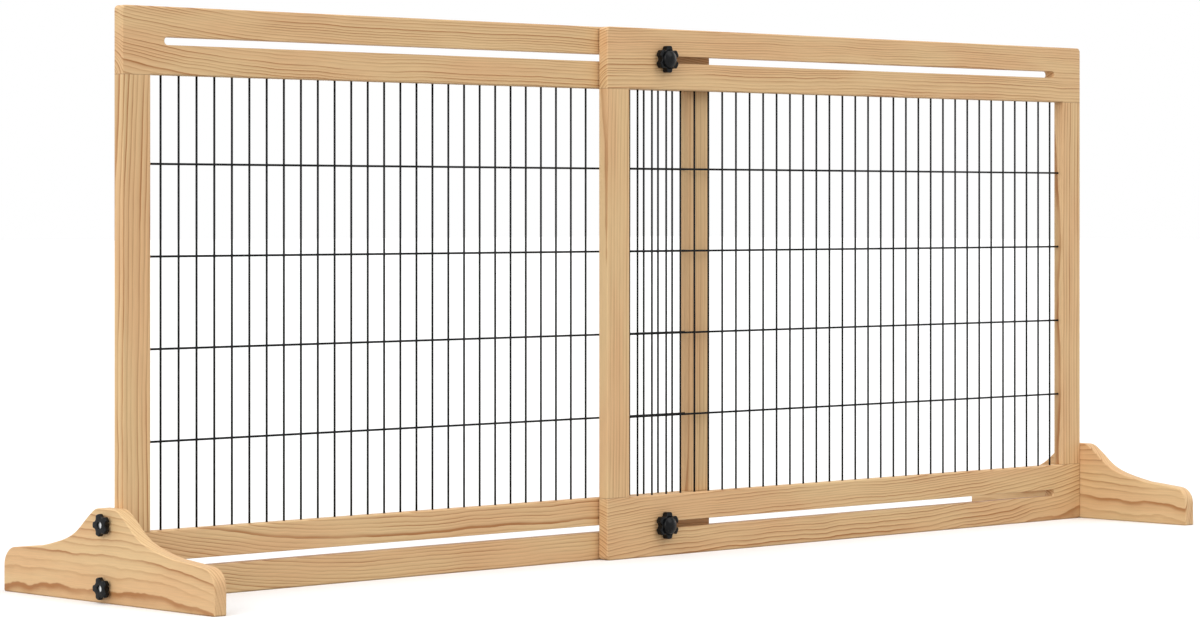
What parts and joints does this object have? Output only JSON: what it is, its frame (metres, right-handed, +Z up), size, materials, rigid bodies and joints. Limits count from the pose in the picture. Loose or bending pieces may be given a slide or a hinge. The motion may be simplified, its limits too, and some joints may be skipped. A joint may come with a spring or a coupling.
{
  "type": "dog playpen",
  "caption": "Freestanding wooden pet gate of framed wire mesh panels that slide past each other, clamp with star knobs in long slots and stand on shaped cross feet.",
  "frame": {"origin": "on the floor under the middle of the overlap, in the plane between the two panels", "axes": "+X along the gate towards the front panel's foot, +Y from the front to the back, +Z up"},
  "size_m": [1.7912, 0.4186, 0.69],
  "materials": {
    "pine": "clear lacquered pine, satin",
    "dowel_wood": "plain beech",
    "black_wire": "black powder coat, satin",
    "black_plastic": "gloss",
    "spacer_plastic": "plain",
    "zinc_steel": "bright zinc plated"
  },
  "bodies": {
    "rear_panel": {"rear_top_rail": "pine", "rear_bottom_rail": "pine", "rear_outer_stile": "pine", "rear_inner_stile": "pine", "rear_upright_wires": "black_wire", "rear_cross_wires": "black_wire", "rear_dowels": "dowel_wood", "rear_insert_nuts": "zinc_steel", "rear_foot": "pine", "clamp_bolts": "zinc_steel", "clamp_washers": "zinc_steel", "clamp_spacers": "spacer_plastic"},
    "front_panel": {"front_top_rail": "pine", "front_bottom_rail": "pine", "front_outer_stile": "pine", "front_inner_stile": "pine", "front_upright_wires": "black_wire", "front_cross_wires": "black_wire", "front_dowels": "dowel_wood", "front_insert_nuts": "zinc_steel", "front_foot": "pine"},
    "clamp_knob_lower": {"clamp_knob_lower": "black_plastic", "clamp_nut_lower": "zinc_steel"},
    "clamp_knob_upper": {"clamp_knob_upper": "black_plastic", "clamp_nut_upper": "zinc_steel"},
    "rear_foot_knob_lower": {"rear_foot_knob_lower": "black_plastic", "rear_foot_stud_lower": "zinc_steel"},
    "rear_foot_knob_upper": {"rear_foot_knob_upper": "black_plastic", "rear_foot_stud_upper": "zinc_steel"},
    "front_foot_knob_lower": {"front_foot_knob_lower": "black_plastic", "front_foot_stud_lower": "zinc_steel"},
    "front_foot_knob_upper": {"front_foot_knob_upper": "black_plastic", "front_foot_stud_upper": "zinc_steel"}
  },
  "joints": [
    {"name": "panel_slide", "type": "slide", "parent": "rear_panel", "child": "front_panel", "axis": [1, 0, 0], "range_m": [-0.7638, 0.005]},
    {"name": "clamp_knob_lower_turn", "type": "hinge", "parent": "rear_panel", "child": "clamp_knob_lower", "pos_m": [0, -0.023, 0.04], "axis": [0, -1, 0], "continuous": true},
    {"name": "clamp_knob_upper_turn", "type": "hinge", "parent": "rear_panel", "child": "clamp_knob_upper", "pos_m": [0, -0.023, 0.65], "axis": [0, -1, 0], "continuous": true},
    {"name": "rear_foot_knob_lower_turn", "type": "hinge", "parent": "rear_panel", "child": "rear_foot_knob_lower", "pos_m": [-0.8862, 0.00875, 0.0175], "axis": [-1, 0, 0], "continuous": true},
    {"name": "rear_foot_knob_upper_turn", "type": "hinge", "parent": "rear_panel", "child": "rear_foot_knob_upper", "pos_m": [-0.8862, 0.00875, 0.0905], "axis": [-1, 0, 0], "continuous": true},
    {"name": "front_foot_knob_lower_turn", "type": "hinge", "parent": "front_panel", "child": "front_foot_knob_lower", "pos_m": [0.8862, -0.00875, 0.0175], "axis": [1, 0, 0], "continuous": true},
    {"name": "front_foot_knob_upper_turn", "type": "hinge", "parent": "front_panel", "child": "front_foot_knob_upper", "pos_m": [0.8862, -0.00875, 0.0905], "axis": [1, 0, 0], "continuous": true}
  ]
}
